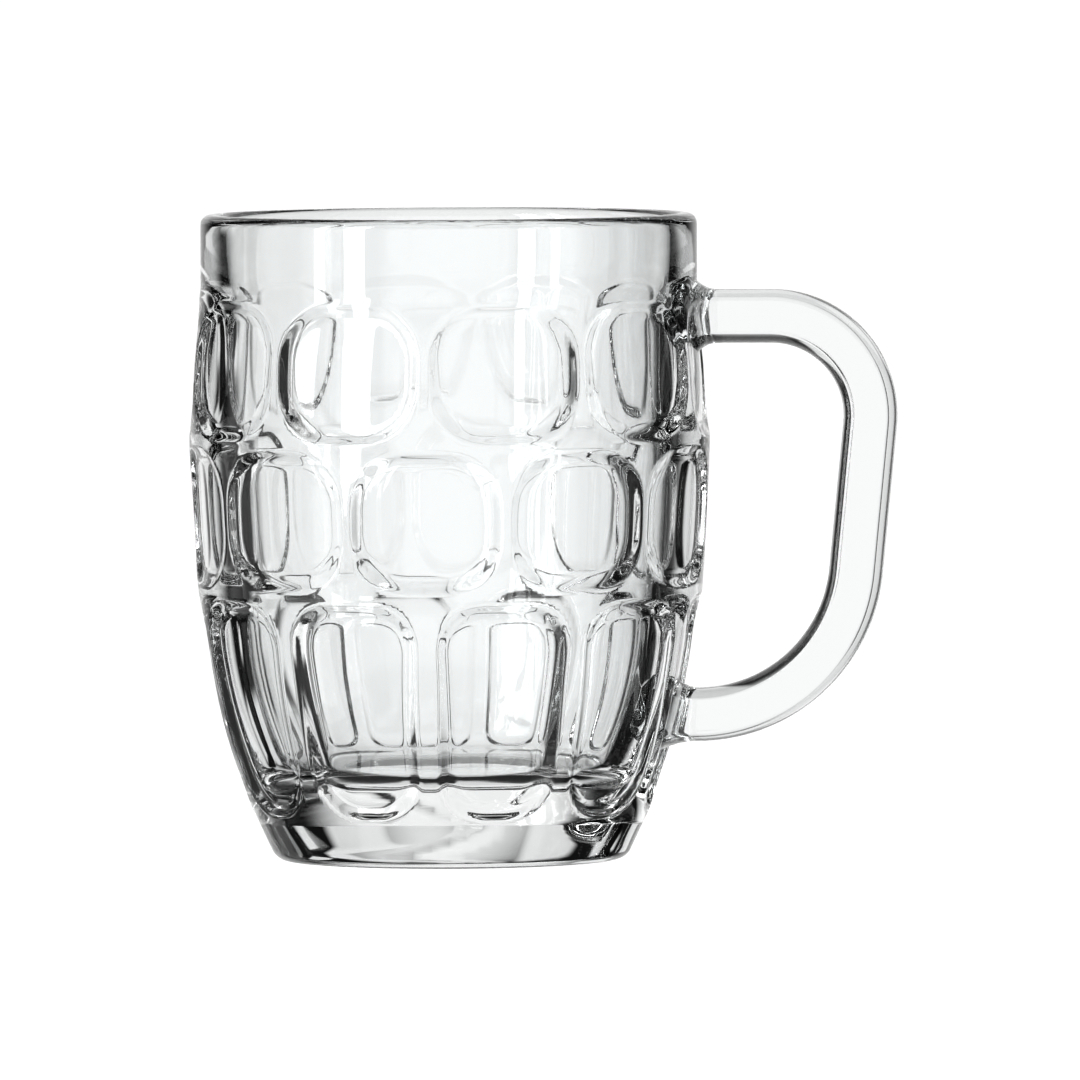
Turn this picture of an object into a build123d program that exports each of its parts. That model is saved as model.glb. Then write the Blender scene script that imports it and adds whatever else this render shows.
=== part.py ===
import os
from math import atan, pi, radians, sin, sqrt, tan

from build123d import *

# Dimpled pint mug in clear pressed glass: a bowl with a heavy base, and a handle fused to its side.
# Millimetres. +Z is up, the mug's axis is Z, the mug stands on Z = 0 and the handle points along +X.

# Bowl, outside
HEIGHT = 128.0
RIM_DIAMETER = 98.4
BELLY_BULGE = 2.5
FOOT_DIAMETER = 76.6
FOOT_SLOPE = 25.0
FOOT_ROUND = 3.5
LIP_ROUND = 2.0

# Bowl, inside
RIM_WALL = 4.5
BASE_THICKNESS = 17.0
BORE_DRAFT = 3.6
FLOOR_DIAMETER = 61.0
FLOOR_ROUND = 8.0

# Hollow under the foot, which leaves a ring to stand on
PUNT_DIAMETER = 50.0
PUNT_DEPTH = 1.6

# Pressed pattern: two rows of dimples and a row of tall panels under them
DIMPLES_PER_ROW = 10
DIMPLE_DEPTH = 1.7
DIMPLE_FLATNESS = 0.3
DIMPLE_RIB = 2.2
DIMPLE_CORNER_ROUND = 12.0
PANEL_TOP_DEPTH = 2.6
PANEL_FOOT_DEPTH = 2.1
PANEL_FLATNESS = 0.55
PANEL_RIB = 3.0
PANEL_CORNER_ROUND = 10.0
PATTERN_EDGE_ROUND = 4.5

# Handle
HANDLE_THICKNESS = 10.7
HANDLE_WIDTH = 14.0
HANDLE_STANDOFF = 34.0
HANDLE_RAKE = 7.9
HANDLE_TOP_BEND = 19.5
HANDLE_FOOT_BEND = 31.6
HANDLE_OUTER_CROWN = 1.5
HANDLE_INNER_CROWN = 2.1
HANDLE_OUTER_ROUND = 1.2
HANDLE_INNER_ROUND = 0.6
HANDLE_FLARE = 2.4
HANDLE_FLARE_LENGTH = 3.0

# Levels up the side, as shares of the height
band_z = 0.875 * HEIGHT
belly_z = 0.72 * HEIGHT
hip_z = 0.422 * HEIGHT
knee_z = 0.246 * HEIGHT
foot_z = 0.061 * HEIGHT
upper_row_high_z = 0.869 * HEIGHT
upper_row_low_z = 0.658 * HEIGHT
lower_row_high_z = 0.643 * HEIGHT
lower_row_low_z = 0.430 * HEIGHT
panel_high_z = 0.413 * HEIGHT
panel_low_z = 0.072 * HEIGHT
bore_low_z = 0.36 * HEIGHT
handle_top_z = 0.8406 * HEIGHT
handle_foot_z = 0.225 * HEIGHT

# Radii at those levels
rim_r = RIM_DIAMETER / 2
belly_r = rim_r + BELLY_BULGE
hip_r = 0.967 * belly_r
foot_r = FOOT_DIAMETER / 2
knee_r = hip_r - 0.29 * (hip_r - foot_r)
stand_r = foot_r - foot_z * tan(radians(FOOT_SLOPE))
bore_rim_r = rim_r - RIM_WALL
bore_low_r = bore_rim_r - (HEIGHT - bore_low_z) * tan(radians(BORE_DRAFT))
floor_r = min(FLOOR_DIAMETER / 2, 0.85 * bore_low_r)
punt_r = min(PUNT_DIAMETER / 2, 0.75 * stand_r)


def arc_radius(run, rise):
    """Radius of an arc that starts square to its run and has moved sideways by rise at the end of it."""
    return (run**2 + rise**2) / (2 * rise)


shoulder_arc_r = arc_radius(band_z - belly_z, belly_r - rim_r)
belly_arc_r = arc_radius(belly_z - hip_z, belly_r - hip_r)


def side_radius(z):
    """Outside radius of the bowl, before the pattern is pressed in, from the hip up to the lip."""
    if z >= band_z:
        return rim_r
    arc_r = shoulder_arc_r if z >= belly_z else belly_arc_r
    return belly_r - arc_r + sqrt(arc_r**2 - (z - belly_z) ** 2)


def edge_inset(depth):
    """How far a cutter's upright side stands outside the line where its rounded floor edge meets the surface."""
    met = min(depth, PATTERN_EDGE_ROUND)
    return PATTERN_EDGE_ROUND - sqrt(2 * PATTERN_EDGE_ROUND * met - met**2)


def half_width(side_r, depth, flatness, rib):
    """Half the width of a cutter at a place on the side. A flat floor is less deep at its two edges."""
    half = side_r * sin(pi / DIMPLES_PER_ROW) - rib / 2
    return half + edge_inset(max(depth - flatness * half**2 / (2 * side_r), 0.3))


def pattern_cutter(outline, corner_round, floor_points, side_r, flatness):
    """Presses one shape into the +X side. The floor follows the bowl, flattened by a share of its roundness."""
    floor_axis = Axis((floor_points[1][0] - side_r / (1 - flatness), 0, 0), (0, 0, 1))
    with BuildPart() as cutter:
        with BuildSketch(Plane.YZ) as cutter_outline:
            Polygon(*outline, align=None)
            fillet(cutter_outline.vertices(), corner_round)
        extrude(amount=belly_r + 2 * RIM_WALL)
        with BuildSketch(Plane.XZ):
            with BuildLine():
                floor_line = ThreePointArc(*floor_points)
                Polyline(
                    floor_line @ 1,
                    (belly_r + RIM_WALL, floor_points[2][1]),
                    (belly_r + RIM_WALL, floor_points[0][1]),
                    floor_line @ 0,
                )
            make_face()
        revolve(axis=floor_axis, mode=Mode.INTERSECT)
        fillet(cutter.faces().sort_by(Axis.X)[0].edges(), PATTERN_EDGE_ROUND)
    return cutter.part


def dimple_cutter(low_z, high_z):
    """A rounded square that presses one dimple between two levels."""
    mid_z = (low_z + high_z) / 2
    half = half_width(side_radius(mid_z), DIMPLE_DEPTH, DIMPLE_FLATNESS, DIMPLE_RIB)
    low = low_z - edge_inset(DIMPLE_DEPTH)
    high = high_z + edge_inset(DIMPLE_DEPTH)
    return pattern_cutter(
        outline=((-half, high), (-half, low), (half, low), (half, high)),
        corner_round=min(DIMPLE_CORNER_ROUND, 0.45 * (high - low), 0.9 * half),
        floor_points=[(side_radius(z) - DIMPLE_DEPTH, z) for z in (low, mid_z, high)],
        side_r=side_radius(mid_z),
        flatness=DIMPLE_FLATNESS,
    )


# Section of the bowl, drawn as radius and height
with BuildSketch(Plane.XZ) as bowl_section:
    with BuildLine() as bowl_outline:
        punt = TangentArc((0, PUNT_DEPTH), (punt_r, 0), tangent=(1, 0))
        stand = Line(punt @ 1, (stand_r, 0))
        foot_side = Line(stand @ 1, (foot_r, foot_z))
        belly = TangentArc((belly_r, belly_z), (hip_r, hip_z), tangent=(0, -1))
        knee = TangentArc(belly @ 1, (knee_r, knee_z), tangent=belly % 1)
        ankle = TangentArc(knee @ 1, foot_side @ 1, tangent=knee % 1)
        shoulder = TangentArc((belly_r, belly_z), (rim_r, band_z), tangent=(0, 1))
        band = Line(shoulder @ 1, (rim_r, HEIGHT))
        lip = Line(band @ 1, (bore_rim_r, HEIGHT))
        bore = Line(lip @ 1, (bore_low_r, bore_low_z))
        bore_foot = TangentArc(bore @ 1, (floor_r, BASE_THICKNESS), tangent=bore % 1)
        floor = Line(bore_foot @ 1, (0, BASE_THICKNESS))
        axis = Line(floor @ 1, punt @ 0)
    make_face()
    corners = bowl_section.vertices()
    fillet(corners.sort_by_distance((stand_r, 0))[0], FOOT_ROUND)
    fillet(bowl_section.vertices().sort_by_distance((rim_r, HEIGHT))[0], LIP_ROUND)
    fillet(bowl_section.vertices().sort_by_distance((bore_rim_r, HEIGHT))[0], LIP_ROUND)
    fillet(bowl_section.vertices().sort_by_distance((floor_r, BASE_THICKNESS))[0], FLOOR_ROUND)

# One tall panel: a tapered outline with rounded corners
panel_top_half = half_width(hip_r, PANEL_TOP_DEPTH, PANEL_FLATNESS, PANEL_RIB)
panel_foot_half = half_width(foot_r, PANEL_FOOT_DEPTH, PANEL_FLATNESS, PANEL_RIB)
panel_cutter = pattern_cutter(
    outline=(
        (-panel_top_half, panel_high_z),
        (-panel_foot_half, panel_low_z),
        (panel_foot_half, panel_low_z),
        (panel_top_half, panel_high_z),
    ),
    corner_round=min(PANEL_CORNER_ROUND, 0.93 * panel_foot_half),
    floor_points=[
        (foot_r - PANEL_FOOT_DEPTH, foot_z),
        (knee_r - (PANEL_TOP_DEPTH + PANEL_FOOT_DEPTH) / 2, knee_z),
        (hip_r - PANEL_TOP_DEPTH, hip_z),
    ],
    side_r=knee_r,
    flatness=PANEL_FLATNESS,
)
upper_dimple = dimple_cutter(upper_row_low_z, upper_row_high_z)
lower_dimple = dimple_cutter(lower_row_low_z, lower_row_high_z)

# Bowl: turned from its section, then the pattern is pressed in. The rows are staggered by half a pitch.
half_pitch = 180 / DIMPLES_PER_ROW
with BuildPart() as mug_body:
    revolve(bowl_section.sketch, axis=Axis.Z)
    with PolarLocations(0, DIMPLES_PER_ROW):
        add(upper_dimple, mode=Mode.SUBTRACT)
        add(panel_cutter, mode=Mode.SUBTRACT)
    with PolarLocations(0, DIMPLES_PER_ROW, start_angle=half_pitch):
        add(lower_dimple, mode=Mode.SUBTRACT)

# Handle: a bar bent to a D in the XZ plane. Its ends are flared and seat on the pressed surface of the bowl.
corner_x = belly_r + HANDLE_STANDOFF
foot_corner_x = corner_x - HANDLE_RAKE
bore_top_r = bore_rim_r - (HEIGHT - handle_top_z) * tan(radians(BORE_DRAFT))
top_seat_r = side_radius(handle_top_z)
foot_seat_r = (ankle @ ((knee_z - handle_foot_z) / (knee_z - foot_z))).X
top_root_x = (bore_top_r + top_seat_r - DIMPLE_DEPTH) / 2
foot_root_x = foot_seat_r - 0.6 * RIM_WALL - PANEL_TOP_DEPTH
top_bar_x = top_seat_r + HANDLE_FLARE_LENGTH
foot_bar_x = foot_seat_r + HANDLE_FLARE_LENGTH

# The two bends stay clear of the flares and of each other
rake = atan(HANDLE_RAKE / (handle_top_z - handle_foot_z))
top_bend = min(HANDLE_TOP_BEND, 0.95 * (corner_x - top_bar_x) / tan(pi / 4 + rake / 2))
foot_bend = min(HANDLE_FOOT_BEND, 0.995 * (foot_corner_x - foot_bar_x) / tan(pi / 4 - rake / 2))


def bar_section(grow):
    """Section of the handle's bar in the open sketch, larger all round by grow. Its +Y side is the outer one.

    The two faces are flat, the outer and inner sides are crowned and the four edges are rounded.
    """
    half_w = HANDLE_WIDTH / 2 + grow
    half_t = HANDLE_THICKNESS / 2 + grow
    outer_edge = half_t - HANDLE_OUTER_CROWN
    inner_edge = half_t - HANDLE_INNER_CROWN
    with BuildLine() as bar_outline:
        outer = ThreePointArc((half_w, outer_edge), (0, half_t), (-half_w, outer_edge))
        inner = ThreePointArc((-half_w, -inner_edge), (0, -half_t), (half_w, -inner_edge))
        Line(outer @ 1, inner @ 0)
        Line(inner @ 1, outer @ 0)
    bar = make_face(bar_outline.edges())
    fillet(bar.vertices().group_by(Axis.Y)[-1], HANDLE_OUTER_ROUND + grow)
    fillet(bar.vertices().group_by(Axis.Y)[0], HANDLE_INNER_ROUND + grow)


def seat_plane(x, z, turn):
    """Plane across the bar beside one of its roots. The bar's outer side is up at the top and down at the foot."""
    return Plane(origin=(x, 0, z), x_dir=(0, turn, 0), z_dir=(1, 0, 0))


with BuildPart() as handle:
    with BuildLine(Plane.XZ) as handle_path:
        FilletPolyline(
            (top_bar_x, handle_top_z),
            (corner_x, handle_top_z),
            (foot_corner_x, handle_foot_z),
            (foot_bar_x, handle_foot_z),
            radius=(top_bend, foot_bend),
        )
    with BuildSketch(seat_plane(top_bar_x, handle_top_z, 1)):
        bar_section(0)
    sweep(path=handle_path.line)
    for root_x, bar_x, root_z, turn in (
        (top_root_x, top_bar_x, handle_top_z, 1),
        (foot_root_x, foot_bar_x, handle_foot_z, -1),
    ):
        with BuildSketch(seat_plane(root_x, root_z, turn)):
            bar_section(HANDLE_FLARE)
        with BuildSketch(seat_plane(bar_x - 0.65 * HANDLE_FLARE_LENGTH, root_z, turn)):
            bar_section(0.35 * HANDLE_FLARE)
        with BuildSketch(seat_plane(bar_x, root_z, turn)):
            bar_section(0)
        loft()
    add(mug_body.part, mode=Mode.SUBTRACT)

mug_body.part.label = "mug_body"
handle.part.label = "handle"

os.makedirs("parts", exist_ok=True)
export_step(mug_body.part, "parts/mug_body.step")
export_step(handle.part, "parts/handle.step")
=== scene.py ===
from math import atan, atan2, cos, hypot, pi, radians, sin, sqrt, tan

import bmesh
import bpy
from mathutils import Matrix, Vector


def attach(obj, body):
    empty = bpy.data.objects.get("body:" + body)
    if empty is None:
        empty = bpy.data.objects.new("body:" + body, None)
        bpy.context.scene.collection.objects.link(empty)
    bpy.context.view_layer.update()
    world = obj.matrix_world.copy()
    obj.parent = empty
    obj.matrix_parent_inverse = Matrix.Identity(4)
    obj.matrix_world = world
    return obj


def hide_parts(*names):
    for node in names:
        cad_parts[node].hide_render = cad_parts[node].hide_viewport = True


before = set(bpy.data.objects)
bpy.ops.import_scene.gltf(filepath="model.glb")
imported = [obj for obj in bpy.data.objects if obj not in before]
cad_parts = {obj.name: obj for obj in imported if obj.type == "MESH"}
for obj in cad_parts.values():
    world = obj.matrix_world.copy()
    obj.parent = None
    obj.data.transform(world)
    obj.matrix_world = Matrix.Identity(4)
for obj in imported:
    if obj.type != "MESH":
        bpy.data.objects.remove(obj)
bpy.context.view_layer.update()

# Sizes in millimetres, the same as those of the solids
MM = 0.001
HEIGHT = 128.0
RIM_R = 49.2
BELLY_R = 51.7
HIP_R = 0.967 * BELLY_R
FOOT_R = 38.3
KNEE_R = HIP_R - 0.29 * (HIP_R - FOOT_R)
FOOT_SLOPE = radians(25.0)
FOOT_ROUND = 3.5
LIP_ROUND = 2.0
BORE_RIM_R = 44.7
BORE_DRAFT = radians(3.6)
FLOOR_R = 30.5
FLOOR_ROUND = 8.0
BASE_THICKNESS = 17.0
PUNT_R = 25.0
PUNT_DEPTH = 1.6

BAND_Z = 0.875 * HEIGHT
BELLY_Z = 0.72 * HEIGHT
HIP_Z = 0.422 * HEIGHT
KNEE_Z = 0.246 * HEIGHT
FOOT_Z = 0.061 * HEIGHT
UPPER_ROW_HIGH_Z = 0.869 * HEIGHT
UPPER_ROW_LOW_Z = 0.658 * HEIGHT
LOWER_ROW_HIGH_Z = 0.643 * HEIGHT
LOWER_ROW_LOW_Z = 0.430 * HEIGHT
PANEL_HIGH_Z = 0.413 * HEIGHT
PANEL_LOW_Z = 0.072 * HEIGHT
BORE_LOW_Z = 0.36 * HEIGHT
HANDLE_TOP_Z = 0.8406 * HEIGHT
HANDLE_FOOT_Z = 0.225 * HEIGHT

DIMPLES_PER_ROW = 10
PITCH = 2 * pi / DIMPLES_PER_ROW
DIMPLE_DEPTH = 1.7
DIMPLE_FLATNESS = 0.3
DIMPLE_RIB = 2.2
DIMPLE_CORNER_ROUND = 12.0
PANEL_TOP_DEPTH = 2.6
PANEL_FOOT_DEPTH = 2.1
PANEL_FLATNESS = 0.55
PANEL_RIB = 3.0
PANEL_CORNER_ROUND = 10.0
EDGE_ROUND = 4.5
RIDGE_SOFTNESS = 0.6
BAND_SOFTNESS = 0.8
# A radius outside the mug, where nothing is pressed
OFF_PATTERN = 1000.0

HANDLE_THICKNESS = 10.7
HANDLE_WIDTH = 14.0
HANDLE_CORNER_X = BELLY_R + 34.0
HANDLE_FOOT_CORNER_X = HANDLE_CORNER_X - 7.9
HANDLE_TOP_BEND = 19.5
HANDLE_FOOT_BEND = 31.6
HANDLE_OUTER_CROWN = 1.5
HANDLE_INNER_CROWN = 2.1
HANDLE_OUTER_ROUND = 1.2
HANDLE_INNER_ROUND = 0.6
HANDLE_FLARE = 2.0
HANDLE_FLARE_LENGTH = 3.0
ROOT_LAP = 0.3

# Rows of the bowl's side: up to a height, rows about so tall. They are low where pressings end
SIDE_ROWS = (
    (FOOT_Z, 1.0),
    (15.0, 0.5),
    (46.0, 1.2),
    (60.0, 0.5),
    (78.0, 1.2),
    (90.0, 0.5),
    (106.0, 1.2),
    (115.0, 0.5),
    (HEIGHT - LIP_ROUND, 2.0),
)
PLAIN_ROW = 2.0
BORE_ROW = 6.0
FLOOR_ROW = 4.0
FOOT_STEPS = 7
LIP_STEPS = 8
BORE_STEPS = 10
COLUMNS_PER_DIMPLE = 36
COLUMN_DRAW = 0.6
BAR_ROW = 1.5
BAR_EDGE_STEPS = 7
BAR_CROWN_STEPS = 18
TOP_BEND_STEPS = 40
FOOT_BEND_STEPS = 50
FLARE_RINGS = 9
SEAT_RINGS = 7
# Points this close inside the plain side belong to it
SIDE_REACH = 2.5
# Less than the step between two rows
HAIR = 0.1
# Points this close to each other are one
MERGE = 1e-3


def soft_min(a, b, softness):
    """The smaller of two lengths, with the corner where they cross rounded off."""
    blend = max(softness - abs(a - b), 0.0) / softness
    return min(a, b) - blend * blend * softness / 4


def arc_from(start, outward, end):
    """Centre and radius of the arc that leaves start square to outward and reaches end."""
    run = end - start
    radius = -run.length_squared / (2 * run.dot(outward))
    return start - outward * radius, radius


belly_point = Vector((BELLY_R, BELLY_Z))
hip_point = Vector((HIP_R, HIP_Z))
knee_point = Vector((KNEE_R, KNEE_Z))
foot_point = Vector((FOOT_R, FOOT_Z))
shoulder_arc = arc_from(belly_point, Vector((1, 0)), Vector((RIM_R, BAND_Z)))
belly_arc = arc_from(belly_point, Vector((1, 0)), hip_point)
knee_arc = arc_from(hip_point, (hip_point - belly_arc[0]).normalized(), knee_point)
ankle_arc = arc_from(knee_point, (knee_point - knee_arc[0]).normalized(), foot_point)


def arc_reach(arc, z):
    """Radius of a side arc at a height."""
    centre, radius = arc
    return centre.x + sqrt(max(radius**2 - (z - centre.y) ** 2, 0.0))


def side_radius(z):
    """Outside radius of the bowl before the pattern is pressed in."""
    if z >= BELLY_Z:
        return -soft_min(-arc_reach(shoulder_arc, z), -RIM_R, BAND_SOFTNESS)
    if z >= HIP_Z:
        return arc_reach(belly_arc, z)
    if z >= KNEE_Z:
        return arc_reach(knee_arc, z)
    if z >= FOOT_Z:
        return arc_reach(ankle_arc, z)
    return FOOT_R - (FOOT_Z - z) * tan(FOOT_SLOPE)


def arc_through(low, mid, high):
    """Centre and radius of the arc through three points."""
    first, second = mid - low, high - low
    cross = 2 * first.cross(second)
    a, b = first.length_squared, second.length_squared
    centre = low + Vector((second.y * a - first.y * b, first.x * b - second.x * a)) / cross
    return centre, (low - centre).length


def edge_inset(depth):
    """How far a pressed outline stands outside the line where its rounded edge meets the side."""
    met = min(depth, EDGE_ROUND)
    return EDGE_ROUND - sqrt(2 * EDGE_ROUND * met - met**2)


def half_width(side_r, depth, flatness, rib):
    """Half the width of a pressed shape. A flat floor is less deep at its two edges."""
    half = side_r * sin(PITCH / 2) - rib / 2
    return half + edge_inset(depth - flatness * half**2 / (2 * side_r))


class Pressing:
    """One shape of the pattern: a rounded outline with a floor that follows the bowl."""

    def __init__(self, low_z, high_z, low_half, high_half, corner, floor, side_r, flatness, start):
        self.low_z, self.high_z = low_z, high_z
        self.low_half, self.high_half = low_half, high_half
        self.corner = corner
        self.floor_arc = arc_through(*[Vector(point) for point in floor])
        self.axis_x = floor[1][0] - side_r / (1 - flatness)
        self.start = start

    def floor(self, across, z):
        """Distance of the floor from the mug's axis, measured square to the shape."""
        share = (z - self.low_z) / (self.high_z - self.low_z)
        side = self.low_half + (self.high_half - self.low_half) * share - abs(across)
        end = min(z - self.low_z, self.high_z - z)
        if side <= 0.0 or end <= 0.0:
            return OFF_PATTERN
        inside = min(side, end)
        if max(side, end) < self.corner:
            inside = self.corner - hypot(self.corner - side, self.corner - end)
        if inside <= 0.0:
            return OFF_PATTERN
        rise = EDGE_ROUND - sqrt(EDGE_ROUND**2 - max(EDGE_ROUND - inside, 0.0) ** 2)
        reach = arc_reach(self.floor_arc, z) - self.axis_x
        return self.axis_x + sqrt(reach**2 - across**2) + rise


def dimple(low_z, high_z, start):
    """The pressing of one row of dimples."""
    mid_z = (low_z + high_z) / 2
    side_r = side_radius(mid_z)
    half = half_width(side_r, DIMPLE_DEPTH, DIMPLE_FLATNESS, DIMPLE_RIB)
    low, high = low_z - edge_inset(DIMPLE_DEPTH), high_z + edge_inset(DIMPLE_DEPTH)
    floor = [(side_radius(z) - DIMPLE_DEPTH, z) for z in (low, mid_z, high)]
    return Pressing(
        low, high, half, half, DIMPLE_CORNER_ROUND, floor, side_r, DIMPLE_FLATNESS, start
    )


panel = Pressing(
    PANEL_LOW_Z,
    PANEL_HIGH_Z,
    half_width(FOOT_R, PANEL_FOOT_DEPTH, PANEL_FLATNESS, PANEL_RIB),
    half_width(HIP_R, PANEL_TOP_DEPTH, PANEL_FLATNESS, PANEL_RIB),
    PANEL_CORNER_ROUND,
    [
        (FOOT_R - PANEL_FOOT_DEPTH, FOOT_Z),
        (KNEE_R - (PANEL_TOP_DEPTH + PANEL_FOOT_DEPTH) / 2, KNEE_Z),
        (HIP_R - PANEL_TOP_DEPTH, HIP_Z),
    ],
    KNEE_R,
    PANEL_FLATNESS,
    0.0,
)
pattern = (
    dimple(UPPER_ROW_LOW_Z, UPPER_ROW_HIGH_Z, 0.0),
    dimple(LOWER_ROW_LOW_Z, LOWER_ROW_HIGH_Z, PITCH / 2),
    panel,
)


def pressed_radius(angle, z):
    """Outside radius of the bowl with the dimples and panels pressed in."""
    radius = side_r = side_radius(z)
    for pressing in pattern:
        turn = (angle - pressing.start + PITCH / 2) % PITCH - PITCH / 2
        floor = pressing.floor(side_r * sin(turn), z)
        radius = soft_min(radius, floor / cos(turn), RIDGE_SOFTNESS)
    return radius


def finish_piece(name, bm, node, material):
    """Puts a mesh drawn in millimetres into the scene as a smooth piece that stands for a solid."""
    bmesh.ops.recalc_face_normals(bm, faces=bm.faces[:])
    for face in bm.faces:
        face.smooth = True
    bmesh.ops.scale(bm, vec=(MM, MM, MM), verts=bm.verts[:])
    mesh = bpy.data.meshes.new(name)
    bm.to_mesh(mesh)
    bm.free()
    mesh.materials.append(material)
    piece = bpy.data.objects.new(name, mesh)
    bpy.context.scene.collection.objects.link(piece)
    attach(piece, "root")
    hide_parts(node)


def verts_in(geometry):
    """The vertices among what an operator gives back."""
    return [item for item in geometry if isinstance(item, bmesh.types.BMVert)]


def edges_in(geometry):
    """The edges among what an operator gives back."""
    return [item for item in geometry if isinstance(item, bmesh.types.BMEdge)]


def pen_arc(bm, start, r, z, turn, steps, move=(0, 0, 0)):
    """Draws an arc of the section from a vertex, about a centre, with a move at each step."""
    spun = bmesh.ops.spin(
        bm, geom=[start], cent=(r, 0, z), axis=(0, 1, 0), dvec=move, angle=turn, steps=steps
    )
    return verts_in(spun["geom_last"])[0]


def pen_line(bm, start, r, z, row):
    """Draws a straight run of the section from a vertex, in rows of about the given height."""
    run = Vector((r, 0, z)) - start.co
    steps = int(run.length / row) + 1
    return pen_arc(bm, start, r, z, 0.0, steps, run / steps)


def draw_bowl_section(bm):
    """Draws half the bowl's section, from under the foot up the side and down the bore."""
    foot_turn = pi / 2 - FOOT_SLOPE
    lip_turn = pi / 2 - BORE_DRAFT
    stand_r = FOOT_R - FOOT_Z * tan(FOOT_SLOPE) - FOOT_ROUND * tan(foot_turn / 2)
    lip_r = BORE_RIM_R + LIP_ROUND * tan(lip_turn / 2)
    lip_z = HEIGHT - LIP_ROUND
    bore_low = Vector((BORE_RIM_R - (HEIGHT - BORE_LOW_Z) * tan(BORE_DRAFT), BORE_LOW_Z))
    bore_centre, bore_arc_r = arc_from(
        bore_low, Vector((cos(BORE_DRAFT), -sin(BORE_DRAFT))), Vector((FLOOR_R, BASE_THICKNESS))
    )
    floor_drop = bore_centre.y - BASE_THICKNESS - FLOOR_ROUND
    floor_run = sqrt((bore_arc_r - FLOOR_ROUND) ** 2 - floor_drop**2)
    floor_turn = atan2(floor_drop, floor_run)
    floor_round_r = bore_centre.x + floor_run
    floor_round_z = BASE_THICKNESS + FLOOR_ROUND

    pen = pen_line(bm, bm.verts.new((0.0, 0.0, PUNT_DEPTH)), PUNT_R, 0.0, PLAIN_ROW)
    pen = pen_line(bm, pen, stand_r, 0.0, PLAIN_ROW)
    pen = pen_arc(bm, pen, stand_r, FOOT_ROUND, -foot_turn, FOOT_STEPS)
    for z, row in SIDE_ROWS:
        pen = pen_line(bm, pen, side_radius(z), z, row)
    pen = pen_arc(bm, pen, RIM_R - LIP_ROUND, lip_z, -pi / 2, LIP_STEPS)
    pen = pen_line(bm, pen, lip_r, HEIGHT, PLAIN_ROW)
    pen = pen_arc(bm, pen, lip_r, lip_z, -lip_turn, LIP_STEPS)
    pen = pen_line(bm, pen, bore_low.x, bore_low.y, BORE_ROW)
    pen = pen_arc(bm, pen, bore_centre.x, bore_centre.y, floor_turn - BORE_DRAFT, BORE_STEPS)
    pen = pen_arc(bm, pen, floor_round_r, floor_round_z, pi / 2 - floor_turn, BORE_STEPS)
    pen_line(bm, pen, 0.0, BASE_THICKNESS, FLOOR_ROW)
    bmesh.ops.remove_doubles(bm, verts=bm.verts[:], dist=MERGE)


def make_bowl(material):
    """The bowl, spun from its section. The pattern is then pressed into its side."""
    bm = bmesh.new()
    draw_bowl_section(bm)
    bmesh.ops.spin(
        bm,
        geom=bm.verts[:] + bm.edges[:],
        cent=(0, 0, 0),
        axis=(0, 0, 1),
        angle=2 * pi,
        steps=COLUMNS_PER_DIMPLE * DIMPLES_PER_ROW,
        use_merge=True,
    )
    bmesh.ops.remove_doubles(bm, verts=bm.verts[:], dist=MERGE)
    for vert in bm.verts:
        radius, z = hypot(vert.co.x, vert.co.y), vert.co.z
        # Columns of the mesh are drawn together where the edges of the dimples run upright
        angle = atan2(vert.co.y, vert.co.x)
        angle -= COLUMN_DRAW * sin(2 * DIMPLES_PER_ROW * angle) / (2 * DIMPLES_PER_ROW)
        outside = radius > side_radius(z) - SIDE_REACH
        if outside and FOOT_ROUND < z < HEIGHT - LIP_ROUND - HAIR:
            radius = pressed_radius(angle, z)
        elif radius < PUNT_R and z < PUNT_DEPTH + HAIR:
            z = PUNT_DEPTH * (1 - (radius / PUNT_R) ** 2)
        vert.co = (radius * cos(angle), radius * sin(angle), z)
    finish_piece("mug_body_glass", bm, "mug_body", material)


def draw_bar_section(bm):
    """Draws the handle's section: two flat faces, crowned outer and inner sides, rounded edges."""
    half_w, half_t = HANDLE_WIDTH / 2, HANDLE_THICKNESS / 2
    pen = bm.verts.new((half_w, 0.0, 0.0))
    for side, crown, rounding in (
        (1, HANDLE_OUTER_CROWN, HANDLE_OUTER_ROUND),
        (-1, HANDLE_INNER_CROWN, HANDLE_INNER_ROUND),
    ):
        crown_r = (half_w**2 + crown**2) / (2 * crown)
        crown_z = half_t - crown_r
        edge_x = half_w - rounding
        edge_z = crown_z + sqrt((crown_r - rounding) ** 2 - edge_x**2)
        edge_turn = atan2(edge_z - crown_z, edge_x)
        pen = pen_line(bm, pen, side * half_w, side * edge_z, BAR_ROW)
        pen = pen_arc(bm, pen, side * edge_x, side * edge_z, -edge_turn, BAR_EDGE_STEPS)
        pen = pen_arc(bm, pen, 0.0, side * crown_z, 2 * edge_turn - pi, BAR_CROWN_STEPS)
        pen = pen_arc(bm, pen, -side * edge_x, side * edge_z, -edge_turn, BAR_EDGE_STEPS)
    pen_line(bm, pen, half_w, 0.0, BAR_ROW)
    bmesh.ops.remove_doubles(bm, verts=bm.verts[:], dist=MERGE)


def seat_x(y, z):
    """How far out a root of the handle ends: on the pressed side, lapped into it a little."""
    radius = pressed_radius(atan2(y, side_radius(z)), z) - ROOT_LAP
    return sqrt(radius**2 - y**2)


def ring(loop):
    """The vertices of a loop of edges, each once."""
    return list(dict.fromkeys(vert for edge in loop for vert in edge.verts))


def carry(bm, loop, move):
    """Grows the bar straight on from a loop."""
    grown = bmesh.ops.extrude_edge_only(bm, edges=loop)["geom"]
    bmesh.ops.translate(bm, vec=move, verts=verts_in(grown))
    return edges_in(grown)


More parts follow.
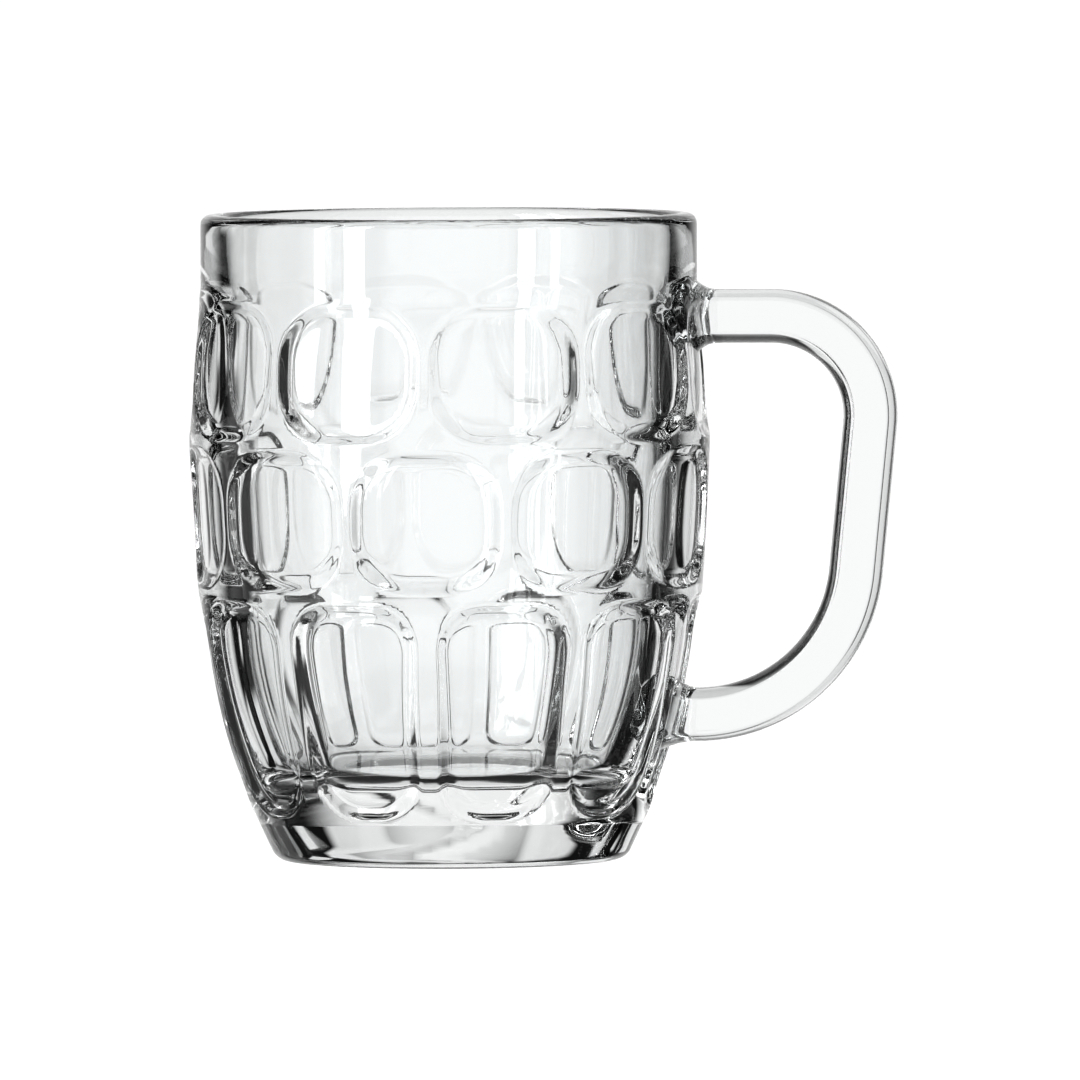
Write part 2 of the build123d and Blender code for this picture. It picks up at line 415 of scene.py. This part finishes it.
def bend(bm, loop, x, z, turn, steps):
    """Grows the bar round a bend from a loop."""
    spun = bmesh.ops.spin(
        bm, geom=ring(loop) + loop, cent=(x, 0, z), axis=(0, 1, 0), angle=turn, steps=steps
    )
    return edges_in(spun["geom_last"])


def flare_root(bm, loop, bar_x, root_z):
    """Grows a root from a loop: it widens towards the bowl, then closes over the seat."""
    half_w, half_t = HANDLE_WIDTH / 2, HANDLE_THICKNESS / 2
    wider = [HANDLE_FLARE * (step / FLARE_RINGS) ** 2 for step in range(FLARE_RINGS + 1)]
    for step in range(1, FLARE_RINGS + SEAT_RINGS):
        loop = carry(bm, loop, (0, 0, 0))
        if step <= FLARE_RINGS:
            old, new = wider[step - 1], wider[step]
            scale = (1, (half_w + new) / (half_w + old), (half_t + new) / (half_t + old))
        else:
            inner = FLARE_RINGS + SEAT_RINGS - step
            scale = (1, inner / (inner + 1), inner / (inner + 1))
        about_root = Matrix.Translation((0, 0, -root_z))
        bmesh.ops.scale(bm, vec=scale, space=about_root, verts=ring(loop))
        share = min(step / FLARE_RINGS, 1.0)
        for vert in ring(loop):
            vert.co.x = bar_x + (seat_x(vert.co.y, vert.co.z) - bar_x) * share
        if step == FLARE_RINGS:
            for edge in loop:
                edge.smooth = False
    bmesh.ops.contextual_create(bm, geom=loop)


def make_handle(material):
    """The handle: a bar spun round its two bends, with a flared root at each end."""
    bm = bmesh.new()
    rake = atan((HANDLE_CORNER_X - HANDLE_FOOT_CORNER_X) / (HANDLE_TOP_Z - HANDLE_FOOT_Z))
    top_bar_x = side_radius(HANDLE_TOP_Z) + HANDLE_FLARE_LENGTH
    foot_bar_x = side_radius(HANDLE_FOOT_Z) + HANDLE_FLARE_LENGTH
    top_bend_x = HANDLE_CORNER_X - HANDLE_TOP_BEND * tan(pi / 4 + rake / 2)
    top_bend_z = HANDLE_TOP_Z - HANDLE_TOP_BEND
    foot_bend_x = HANDLE_FOOT_CORNER_X - HANDLE_FOOT_BEND * tan(pi / 4 - rake / 2)
    foot_bend_z = HANDLE_FOOT_Z + HANDLE_FOOT_BEND
    out_of_bend = Vector((cos(rake), 0, -sin(rake)))
    upright_top = Vector((top_bend_x, 0, top_bend_z)) + HANDLE_TOP_BEND * out_of_bend
    upright_foot = Vector((foot_bend_x, 0, foot_bend_z)) + HANDLE_FOOT_BEND * out_of_bend

    draw_bar_section(bm)
    to_lie_across = Matrix.Rotation(pi / 2, 3, "Z")
    bmesh.ops.rotate(bm, cent=(0, 0, 0), matrix=to_lie_across, verts=bm.verts[:])
    bmesh.ops.translate(bm, vec=(top_bar_x, 0, HANDLE_TOP_Z), verts=bm.verts[:])
    top_loop = bm.edges[:]
    loop = carry(bm, top_loop, (top_bend_x - top_bar_x, 0, 0))
    loop = bend(bm, loop, top_bend_x, top_bend_z, pi / 2 + rake, TOP_BEND_STEPS)
    loop = carry(bm, loop, upright_foot - upright_top)
    loop = bend(bm, loop, foot_bend_x, foot_bend_z, pi / 2 - rake, FOOT_BEND_STEPS)
    loop = carry(bm, loop, (foot_bar_x - foot_bend_x, 0, 0))
    flare_root(bm, loop, foot_bar_x, HANDLE_FOOT_Z)
    flare_root(bm, top_loop, top_bar_x, HANDLE_TOP_Z)
    finish_piece("handle_glass", bm, "handle", material)


def linear(hex_colour):
    """An sRGB hex colour as linear red, green, blue and alpha."""
    parts = [int(hex_colour[i : i + 2], 16) / 255 for i in (1, 3, 5)]
    light = [c / 12.92 if c <= 0.04045 else ((c + 0.055) / 1.055) ** 2.4 for c in parts]
    return (*light, 1.0)


def add_node(tree, kind, settings=None, **inputs):
    """Adds one node. Settings are its options, inputs are values or the sockets that feed it."""
    new = tree.nodes.new(kind)
    for name, value in (settings or {}).items():
        setattr(new, name, value)
    for name, value in inputs.items():
        place = int(name[1:]) if name[1:].isdigit() else name.replace("_", " ")
        if isinstance(value, bpy.types.NodeSocket):
            tree.links.new(value, new.inputs[place])
        else:
            new.inputs[place].default_value = value
    return new


# The mould leaves the skin uneven over about 9 mm, a few hundredths of a millimetre deep
RIPPLE_SIZE = 9.0
RIPPLE_DEPTH = 0.03
RIPPLE_STRENGTH = 0.6
# Handling leaves a thin haze in patches about 25 mm across
HAZE_SIZE = 25.0
HAZE_START = 0.45
HAZE_FULL = 0.75
HAZE_ROUGHNESS = 0.012
# The ring that the mug stands on is scuffed grey, within the lowest half millimetre
SCUFF_FULL_Z = 0.1
SCUFF_END_Z = 0.5
SCUFF_ROUGHNESS = 0.3
GLASS_IOR = 1.52


def pressed_glass():
    """Clear soda-lime glass, mould-pressed and fire-polished: bright, smooth, faintly uneven."""
    material = bpy.data.materials.new("clear_pressed_glass")
    material.use_nodes = True
    tree = material.node_tree
    tree.nodes.clear()
    place = add_node(tree, "ShaderNodeTexCoord").outputs["Object"]
    ripple = add_node(
        tree, "ShaderNodeTexNoise", Vector=place, Scale=1 / (RIPPLE_SIZE * MM), Detail=1.0
    )
    skin = add_node(
        tree,
        "ShaderNodeBump",
        Height=ripple.outputs["Fac"],
        Strength=RIPPLE_STRENGTH,
        Distance=RIPPLE_DEPTH * MM,
    )
    haze = add_node(
        tree, "ShaderNodeTexNoise", Vector=place, Scale=1 / (HAZE_SIZE * MM), Detail=2.0
    )
    haze_rough = add_node(
        tree,
        "ShaderNodeMapRange",
        Value=haze.outputs["Fac"],
        From_Min=HAZE_START,
        From_Max=HAZE_FULL,
        To_Min=0.0,
        To_Max=HAZE_ROUGHNESS,
    )
    height = add_node(tree, "ShaderNodeSeparateXYZ", Vector=place).outputs["Z"]
    scuff_rough = add_node(
        tree,
        "ShaderNodeMapRange",
        Value=height,
        From_Min=SCUFF_FULL_Z * MM,
        From_Max=SCUFF_END_Z * MM,
        To_Min=SCUFF_ROUGHNESS,
        To_Max=0.0,
    )
    rough = add_node(
        tree,
        "ShaderNodeMath",
        {"operation": "ADD"},
        _0=haze_rough.outputs["Result"],
        _1=scuff_rough.outputs["Result"],
    )
    glass = add_node(
        tree,
        "ShaderNodeBsdfPrincipled",
        Base_Color=linear("#fdfefe"),
        Roughness=rough.outputs["Value"],
        IOR=GLASS_IOR,
        Transmission_Weight=1.0,
        Normal=skin.outputs["Normal"],
    )
    add_node(tree, "ShaderNodeOutputMaterial", Surface=glass.outputs["BSDF"])
    return material


def lit_white_sheet():
    """Matt white acrylic sheet lit from below, as used under glassware in a studio."""
    material = bpy.data.materials.new("lit_white_sheet")
    material.use_nodes = True
    tree = material.node_tree
    tree.nodes.clear()
    matt = add_node(tree, "ShaderNodeBsdfDiffuse", Color=linear("#d0d0d0")).outputs["BSDF"]
    glow = add_node(tree, "ShaderNodeEmission", Color=linear("#ffffff"), Strength=1.0)
    both = add_node(tree, "ShaderNodeAddShader", _0=matt, _1=glow.outputs["Emission"])
    add_node(tree, "ShaderNodeOutputMaterial", Surface=both.outputs["Shader"])
    return material


# The studio is in metres and degrees. A bearing is 0 straight behind the mug as the camera sees
# it, and grows to the camera's right
CAMERA_AZIMUTH = 5.4
CAMERA_DISTANCE = 3.70
CAMERA_HEIGHT = 0.227
CAMERA_LENS = 623.0
CAMERA_ROLL = 0.27
CAMERA_CLIP_END = 50.0
AIM_RIGHT = 0.0178
AIM_HEIGHT = 0.0632
SHEET_RADIUS = 40.0
SHEET_SEGMENTS = 96

# The backlight is a tall oval behind the mug, bright in the middle and faded out at its edge
BACKLIGHT_BEARING = 0.0
BACKLIGHT_LIFT = -6.0
BACKLIGHT_TALLNESS = 1.4
BACKLIGHT_FULL = 19.0
BACKLIGHT_END = 38.0
BACKLIGHT_LEVEL = 0.95
# Lit panels round the mug: bearing, half width, lowest and highest angle, brightness
LIT_PANELS = (
    # Under the backlight, for the floor of the bowl
    (0.0, 18.0, -72.0, -25.0, 0.8),
    # Over the backlight, for the thick base
    (27.0, 10.0, 14.0, 36.0, 0.9),
    (-27.0, 10.0, 14.0, 36.0, 0.9),
    # Upright strips at the two sides
    (66.0, 6.0, -9.0, 40.0, 0.4),
    (-66.0, 6.0, -9.0, 40.0, 1.0),
    # Low down, a bright ground for looking over the handle from above
    (-39.6, 9.0, -34.0, -16.0, 0.9),
    # The wall behind the camera and a brighter part of it, for the floors of the dimples
    (180.0, 72.0, -60.0, 20.0, 0.8),
    (180.0, 33.0, -40.0, 15.0, 1.3),
)
DARK_ROOM = 0.02
PANEL_BLUR = 3.0
# Softboxes that face the mug: name, bearing, distance, height of the middle, width, height, watts
SOFTBOXES = (
    ("softbox_left", -136.5, 1.3, 0.45, 0.25, 1.2, 4.5),
    ("strip_left", -119.0, 1.3, 0.45, 0.14, 1.2, 2.5),
    # A dim card close by, a pale ground for looking at the mug from the handle's side
    ("card_side", -102.6, 0.30, 0.065, 0.29, 0.37, 0.33),
)
SOFTBOX_AIM_Z = 0.07

VIEW_GAMMA = 0.7
LIGHT_BOUNCES = 16
GLOSS_BOUNCES = 8
STRAY_LIGHT_LIMIT = 6.0


def level_way(bearing):
    """The level direction from the mug at a bearing."""
    azimuth = radians(bearing - CAMERA_AZIMUTH)
    return Vector((sin(azimuth), cos(azimuth), 0))


def make_floor():
    """A wide white sheet to stand the mug on. The glass looks past it, to the lit panels."""
    bm = bmesh.new()
    bmesh.ops.create_circle(bm, cap_ends=True, radius=SHEET_RADIUS, segments=SHEET_SEGMENTS)
    mesh = bpy.data.meshes.new("floor_sheet")
    bm.to_mesh(mesh)
    bm.free()
    mesh.materials.append(lit_white_sheet())
    floor = bpy.data.objects.new("floor_sheet", mesh)
    floor.visible_transmission = False
    floor.visible_glossy = False
    bpy.context.scene.collection.objects.link(floor)


def make_room():
    """A dark room with soft white panels, so that the glass has dark edges on a bright ground."""
    world = bpy.data.worlds.new("studio_room")
    bpy.context.scene.world = world
    world.use_nodes = True
    tree = world.node_tree
    tree.nodes.clear()
    normalize, dot = {"operation": "NORMALIZE"}, {"operation": "DOT_PRODUCT"}
    multiply, maximum = {"operation": "MULTIPLY"}, {"operation": "MAXIMUM"}
    smooth = {"interpolation_type": "SMOOTHSTEP"}
    way = add_node(tree, "ShaderNodeTexCoord").outputs["Generated"]
    height = add_node(tree, "ShaderNodeSeparateXYZ", Vector=way).outputs["Z"]
    level = add_node(tree, "ShaderNodeVectorMath", multiply, _0=way, _1=(1, 1, 0)).outputs[0]
    level = add_node(tree, "ShaderNodeVectorMath", normalize, _0=level).outputs[0]
    oval = add_node(
        tree,
        "ShaderNodeVectorMath",
        {"operation": "MULTIPLY_ADD"},
        _0=way,
        _1=(1, 1, 1 / BACKLIGHT_TALLNESS),
        _2=(0, 0, -sin(radians(BACKLIGHT_LIFT)) / BACKLIGHT_TALLNESS),
    ).outputs[0]
    oval = add_node(tree, "ShaderNodeVectorMath", normalize, _0=oval).outputs[0]
    facing = add_node(
        tree, "ShaderNodeVectorMath", dot, _0=oval, _1=level_way(BACKLIGHT_BEARING)
    )
    light = add_node(
        tree,
        "ShaderNodeMapRange",
        smooth,
        Value=facing.outputs["Value"],
        From_Min=cos(radians(BACKLIGHT_END)),
        From_Max=cos(radians(BACKLIGHT_FULL)),
        To_Min=DARK_ROOM,
        To_Max=BACKLIGHT_LEVEL,
    ).outputs["Result"]
    for bearing, half, low, high, glow in LIT_PANELS:
        facing = add_node(tree, "ShaderNodeVectorMath", dot, _0=level, _1=level_way(bearing))
        across = facing.outputs["Value"]
        for place, measure, dark, lit in (
            (across, cos, half + PANEL_BLUR, half - PANEL_BLUR),
            (height, sin, low - PANEL_BLUR, low + PANEL_BLUR),
            (height, sin, high + PANEL_BLUR, high - PANEL_BLUR),
        ):
            edge = add_node(
                tree,
                "ShaderNodeMapRange",
                smooth,
                Value=place,
                From_Min=measure(radians(dark)),
                From_Max=measure(radians(lit)),
            ).outputs["Result"]
            glow = add_node(tree, "ShaderNodeMath", multiply, _0=glow, _1=edge).outputs[0]
        light = add_node(tree, "ShaderNodeMath", maximum, _0=light, _1=glow).outputs[0]
    # Past the edge of the floor the camera sees plain white
    seen = add_node(tree, "ShaderNodeLightPath").outputs["Is Camera Ray"]
    light = add_node(tree, "ShaderNodeMath", maximum, _0=light, _1=seen).outputs[0]
    shine = add_node(tree, "ShaderNodeBackground", Color=light, Strength=1.0)
    add_node(tree, "ShaderNodeOutputWorld", Surface=shine.outputs["Background"])


def make_softbox(name, bearing, distance, middle_z, width, height, watts):
    """A soft panel of light that faces the mug."""
    lamp = bpy.data.lights.new(name, "AREA")
    lamp.shape = "RECTANGLE"
    lamp.size = width
    lamp.size_y = height
    lamp.energy = watts
    box = bpy.data.objects.new(name, lamp)
    box.location = distance * level_way(bearing) + Vector((0, 0, middle_z))
    towards_mug = Vector((0, 0, SOFTBOX_AIM_Z)) - box.location
    box.rotation_euler = towards_mug.to_track_quat("-Z", "Y").to_euler()
    box.visible_camera = False
    bpy.context.scene.collection.objects.link(box)


def make_camera():
    """A long lens a little above the rim, at the photograph's viewing angle."""
    camera = bpy.data.objects.new("camera", bpy.data.cameras.new("camera"))
    camera.data.lens = CAMERA_LENS
    camera.data.clip_end = CAMERA_CLIP_END
    turn = Matrix.Rotation(radians(CAMERA_AZIMUTH), 3, "Z")
    camera.location = turn @ Vector((AIM_RIGHT, -CAMERA_DISTANCE, CAMERA_HEIGHT))
    aim = turn @ Vector((AIM_RIGHT, 0, AIM_HEIGHT))
    look = (aim - camera.location).to_track_quat("-Z", "Y").to_matrix()
    roll = Matrix.Rotation(-radians(CAMERA_ROLL), 3, "Z")
    camera.rotation_euler = (look @ roll).to_euler()
    bpy.context.scene.collection.objects.link(camera)
    bpy.context.scene.camera = camera


def set_view():
    """Tone of the picture, and how often light may cross the glass."""
    scene = bpy.context.scene
    scene.view_settings.view_transform = "Standard"
    scene.view_settings.gamma = VIEW_GAMMA
    scene.cycles.max_bounces = LIGHT_BOUNCES
    scene.cycles.transmission_bounces = LIGHT_BOUNCES
    scene.cycles.glossy_bounces = GLOSS_BOUNCES
    scene.cycles.sample_clamp_indirect = STRAY_LIGHT_LIMIT


make_camera()
glass = pressed_glass()
make_bowl(glass)
make_handle(glass)
make_floor()
make_room()
for softbox in SOFTBOXES:
    make_softbox(*softbox)
set_view()
